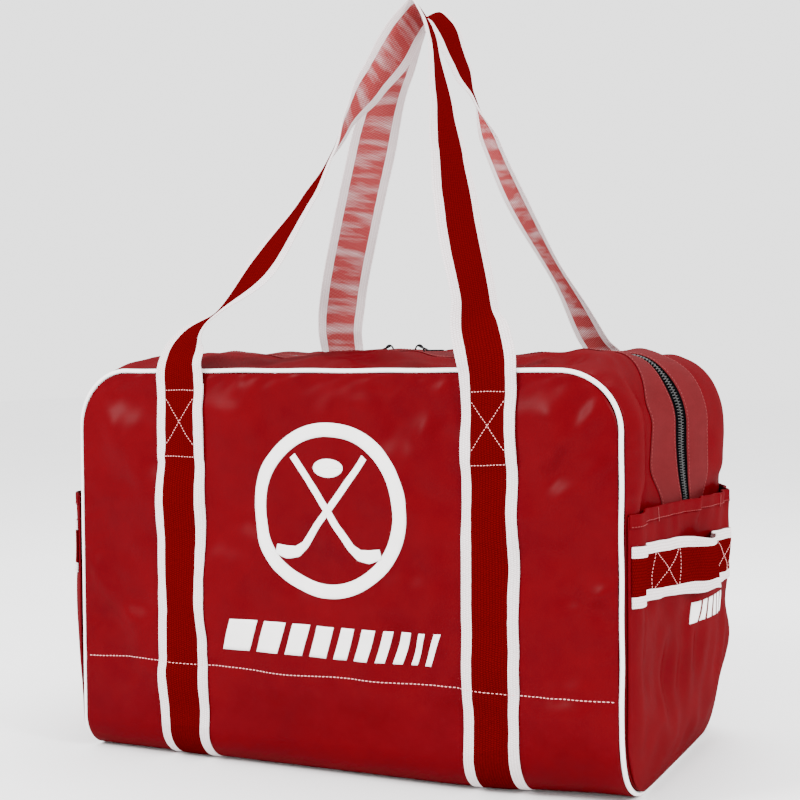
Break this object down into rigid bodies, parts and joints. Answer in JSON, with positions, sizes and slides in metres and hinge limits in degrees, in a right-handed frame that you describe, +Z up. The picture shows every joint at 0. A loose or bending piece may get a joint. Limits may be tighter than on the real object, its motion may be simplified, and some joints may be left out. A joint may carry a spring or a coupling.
{
  "type": "hockey equipment bag",
  "caption": "Boxy vinyl sports bag with long webbing carry handles, a zip top that folds open, end pockets, grab handles and piped seams.",
  "frame": {"origin": "middle of the base, on the floor", "axes": "+X along the bag to its right end, -Y towards the front panel, +Z up"},
  "size_m": [0.7982, 0.4314, 0.9024],
  "materials": {
    "vinyl": "satin coated",
    "facing": "matte coated",
    "lining": "matte coated",
    "webbing": "woven, with white edge stripes",
    "piping": "satin",
    "binding": "woven",
    "zip": "moulded teeth on woven tape",
    "metal": "dark plated",
    "print": "printed film",
    "thread": "sewing thread"
  },
  "bodies": {
    "bag": {"base_panel": "vinyl", "base_lining": "lining", "front_panel": "vinyl", "front_piping": "piping", "front_seam_binding": "binding", "front_handle_foot_left": "webbing", "front_handle_foot_right": "webbing", "rear_panel": "vinyl", "rear_piping": "piping", "rear_seam_binding": "binding", "rear_handle_foot_left": "webbing", "rear_handle_foot_right": "webbing", "left_band": "webbing", "left_end_panel": "vinyl", "left_pocket": "vinyl", "left_pocket_hem": "vinyl", "left_grab_handle": "webbing", "left_end_piping": "piping", "left_zip_end": "zip", "left_front_end_gusset": "vinyl", "left_front_end_facing": "facing", "left_rear_end_gusset": "vinyl", "left_rear_end_facing": "facing", "right_band": "webbing", "right_end_panel": "vinyl", "right_pocket": "vinyl", "right_pocket_hem": "vinyl", "right_grab_handle": "webbing", "right_end_piping": "piping", "right_zip_end": "zip", "right_front_end_gusset": "vinyl", "right_front_end_facing": "facing", "right_rear_end_gusset": "vinyl", "right_rear_end_facing": "facing"},
    "front_flap": {"front_top_gusset": "vinyl", "front_top_facing": "facing", "front_zip_tape": "zip", "front_zip_teeth": "zip"},
    "rear_flap": {"rear_top_gusset": "vinyl", "rear_top_facing": "facing", "rear_zip_tape": "zip", "rear_zip_teeth": "zip"},
    "carry_front": {"front_handle": "webbing"},
    "carry_rear": {"rear_handle": "webbing"},
    "slider_left": {"left_slider": "metal"},
    "pull_left": {"left_pull": "metal"},
    "slider_right": {"right_slider": "metal"},
    "pull_right": {"right_pull": "metal"}
  },
  "joints": [
    {"name": "front_flap_lift", "type": "hinge", "parent": "bag", "child": "front_flap", "pos_m": [0, -0.198, 0.457], "axis": [1, 0, 0], "range_deg": [0, 50]},
    {"name": "front_handle_swing", "type": "hinge", "parent": "bag", "child": "carry_front", "pos_m": [0, -0.211, 0.445], "axis": [1, 0, 0], "range_deg": [0, 160]},
    {"name": "rear_flap_lift", "type": "hinge", "parent": "bag", "child": "rear_flap", "pos_m": [0, 0.198, 0.457], "axis": [-1, 0, 0], "range_deg": [0, 50]},
    {"name": "rear_handle_swing", "type": "hinge", "parent": "bag", "child": "carry_rear", "pos_m": [0, 0.211, 0.445], "axis": [-1, 0, 0], "range_deg": [0, 160]},
    {"name": "left_slider_run", "type": "slide", "parent": "front_flap", "child": "slider_left", "axis": [-1, 0, 0], "range_m": [0, 0.24]},
    {"name": "left_pull_swing", "type": "hinge", "parent": "slider_left", "child": "pull_left", "pos_m": [-0.02, 0, 0.4815], "axis": [0, 1, 0], "range_deg": [0, 120]},
    {"name": "right_slider_run", "type": "slide", "parent": "front_flap", "child": "slider_right", "axis": [1, 0, 0], "range_m": [0, 0.24]},
    {"name": "right_pull_swing", "type": "hinge", "parent": "slider_right", "child": "pull_right", "pos_m": [0.02, 0, 0.4815], "axis": [0, -1, 0], "range_deg": [0, 120]}
  ],
  "couplings": [
    {"joint": "rear_flap_lift", "follows": "front_flap_lift", "ratio": 1},
    {"joint": "left_slider_run", "follows": "front_flap_lift", "m_per_rad": 0.27},
    {"joint": "right_slider_run", "follows": "front_flap_lift", "m_per_rad": 0.27}
  ]
}
